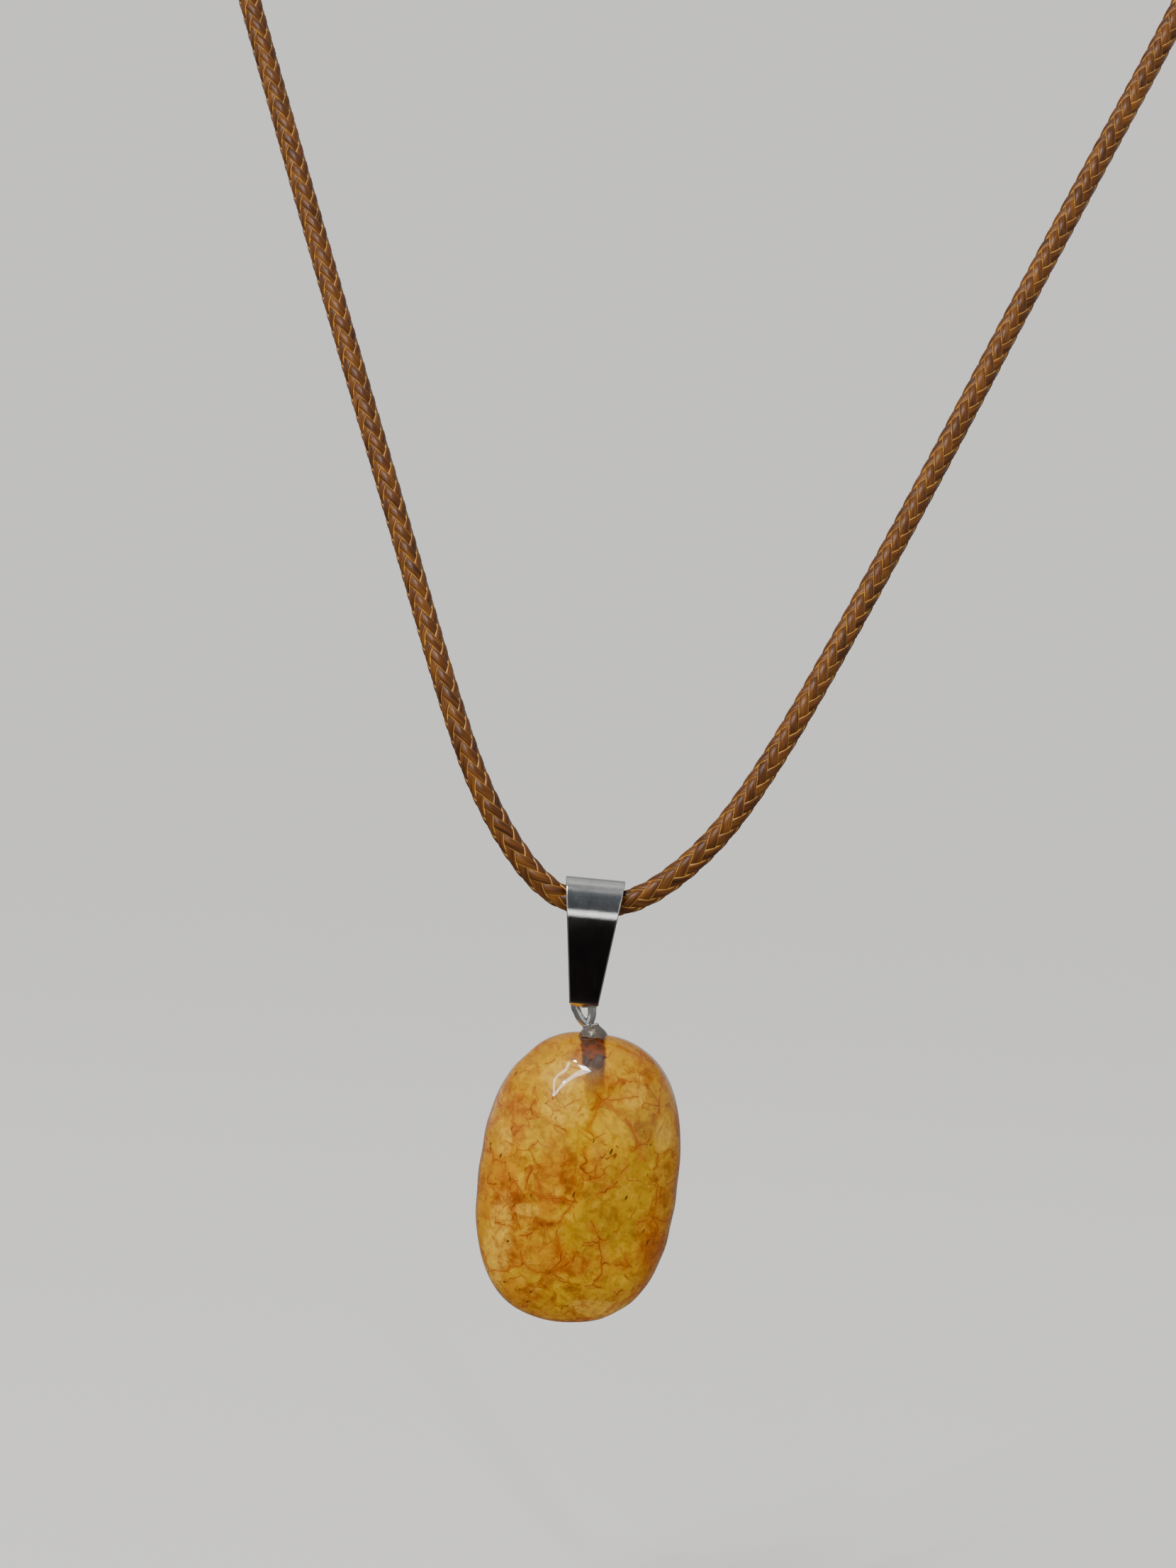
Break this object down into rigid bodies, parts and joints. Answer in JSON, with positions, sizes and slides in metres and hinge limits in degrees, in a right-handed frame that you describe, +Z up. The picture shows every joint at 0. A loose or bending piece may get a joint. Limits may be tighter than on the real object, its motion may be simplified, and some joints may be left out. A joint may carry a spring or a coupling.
{
  "type": "pendant necklace",
  "caption": "Pendant necklace: a drilled tumbled stone on a wire eye, hung by a folded tapered bail from a braided cord with a lobster clasp and an extender chain.",
  "frame": {"origin": "the back of the loop, on the clasp's centreline, where the necklace rests on the nape", "axes": "+Z up along the hanging pendant, +Y towards the nape, front of the pendant facing -Y"},
  "size_m": [0.1048, 0.0524, 0.1798],
  "materials": {
    "cord_braid": "waxed polyester braid, satin",
    "bail_steel": "polished steel with a fine orange-peel grain on the bend",
    "eye_wire": "polished wire",
    "clear_glue": "clear glossy glue",
    "amber_stone": "tumbled, glossy, cloudy amber yellow with crackle veins",
    "findings_steel": "polished steel",
    "spring_steel": "bare spring steel",
    "chain_steel": "polished steel"
  },
  "bodies": {
    "root": {"cord": "cord_braid", "cord_end_left": "findings_steel", "cord_end_right": "findings_steel"},
    "bail": {"bail": "bail_steel"},
    "pendant": {"eye_peg": "eye_wire", "glue_bead": "clear_glue", "stone": "amber_stone"},
    "jump_ring_left": {"jump_ring_left": "findings_steel"},
    "clasp": {"clasp_body": "findings_steel", "clasp_pin": "findings_steel", "clasp_spring": "spring_steel"},
    "clasp_lever": {"clasp_lever": "findings_steel"},
    "jump_ring_right": {"jump_ring_right": "findings_steel"},
    "chain_link_01": {"chain_link_01": "chain_steel"},
    "chain_link_02": {"chain_link_02": "chain_steel"},
    "chain_link_03": {"chain_link_03": "chain_steel"},
    "chain_link_04": {"chain_link_04": "chain_steel"},
    "chain_link_05": {"chain_link_05": "chain_steel"},
    "chain_link_06": {"chain_link_06": "chain_steel"},
    "chain_link_07": {"chain_link_07": "chain_steel"},
    "chain_link_08": {"chain_link_08": "chain_steel"},
    "chain_link_09": {"chain_link_09": "chain_steel"},
    "chain_link_10": {"chain_link_10": "chain_steel"},
    "chain_link_11": {"chain_link_11": "chain_steel"},
    "chain_link_12": {"chain_link_12": "chain_steel"},
    "chain_drop": {"chain_drop": "chain_steel"}
  },
  "joints": [
    {"name": "bail_swing", "type": "hinge", "parent": "root", "child": "bail", "pos_m": [0, -0.044, -0.1435], "axis": [1, 0, 0], "range_deg": [-60, 60]},
    {"name": "pendant_swing", "type": "hinge", "parent": "bail", "child": "pendant", "pos_m": [-0.00032, -0.044, -0.15196], "axis": [0, 1, 0], "range_deg": [-35, 35]},
    {"name": "left_ring_twist", "type": "hinge", "parent": "root", "child": "jump_ring_left", "pos_m": [0.00017, 0, 0], "axis": [1, 0, 0], "range_deg": [-10, 10]},
    {"name": "clasp_twist", "type": "hinge", "parent": "jump_ring_left", "child": "clasp", "pos_m": [0.00254, 0, 0], "axis": [1, 0, 0], "range_deg": [-10, 10]},
    {"name": "clasp_lever_open", "type": "hinge", "parent": "clasp", "child": "clasp_lever", "pos_m": [0.00564, 0, -0.00145], "axis": [0, -1, 0], "range_deg": [0, 20], "stiffness_Nm_per_rad": 0.0004, "springref_deg": -17.19, "deforming": ["clasp_spring"]},
    {"name": "right_ring_tilt", "type": "hinge", "parent": "root", "child": "jump_ring_right", "pos_m": [0.01239, 0, 0], "axis": [1, 0, 0], "range_deg": [0, 20]},
    {"name": "chain_link_01_swing", "type": "hinge", "parent": "jump_ring_right", "child": "chain_link_01", "pos_m": [0.01239, 0.0021, 0], "axis": [1, 0, 0], "range_deg": [-25, 25]},
    {"name": "chain_link_02_swing", "type": "hinge", "parent": "chain_link_01", "child": "chain_link_02", "pos_m": [0.01239, 0.0021, -0.00291], "axis": [0, 1, 0], "range_deg": [-25, 25]},
    {"name": "chain_link_03_swing", "type": "hinge", "parent": "chain_link_02", "child": "chain_link_03", "pos_m": [0.01239, 0.0021, -0.00587], "axis": [1, 0, 0], "range_deg": [-25, 25]},
    {"name": "chain_link_04_swing", "type": "hinge", "parent": "chain_link_03", "child": "chain_link_04", "pos_m": [0.01239, 0.0021, -0.00883], "axis": [0, 1, 0], "range_deg": [-25, 25]},
    {"name": "chain_link_05_swing", "type": "hinge", "parent": "chain_link_04", "child": "chain_link_05", "pos_m": [0.01239, 0.0021, -0.01179], "axis": [1, 0, 0], "range_deg": [-25, 25]},
    {"name": "chain_link_06_swing", "type": "hinge", "parent": "chain_link_05", "child": "chain_link_06", "pos_m": [0.01239, 0.0021, -0.01475], "axis": [0, 1, 0], "range_deg": [-25, 25]},
    {"name": "chain_link_07_swing", "type": "hinge", "parent": "chain_link_06", "child": "chain_link_07", "pos_m": [0.01239, 0.0021, -0.01771], "axis": [1, 0, 0], "range_deg": [-25, 25]},
    {"name": "chain_link_08_swing", "type": "hinge", "parent": "chain_link_07", "child": "chain_link_08", "pos_m": [0.01239, 0.0021, -0.02067], "axis": [0, 1, 0], "range_deg": [-25, 25]},
    {"name": "chain_link_09_swing", "type": "hinge", "parent": "chain_link_08", "child": "chain_link_09", "pos_m": [0.01239, 0.0021, -0.02363], "axis": [1, 0, 0], "range_deg": [-25, 25]},
    {"name": "chain_link_10_swing", "type": "hinge", "parent": "chain_link_09", "child": "chain_link_10", "pos_m": [0.01239, 0.0021, -0.02659], "axis": [0, 1, 0], "range_deg": [-25, 25]},
    {"name": "chain_link_11_swing", "type": "hinge", "parent": "chain_link_10", "child": "chain_link_11", "pos_m": [0.01239, 0.0021, -0.02955], "axis": [1, 0, 0], "range_deg": [-25, 25]},
    {"name": "chain_link_12_swing", "type": "hinge", "parent": "chain_link_11", "child": "chain_link_12", "pos_m": [0.01239, 0.0021, -0.03251], "axis": [0, 1, 0], "range_deg": [-25, 25]},
    {"name": "chain_drop_swing", "type": "hinge", "parent": "chain_link_12", "child": "chain_drop", "pos_m": [0.01239, 0.0021, -0.03547], "axis": [1, 0, 0], "range_deg": [-25, 25]}
  ]
}
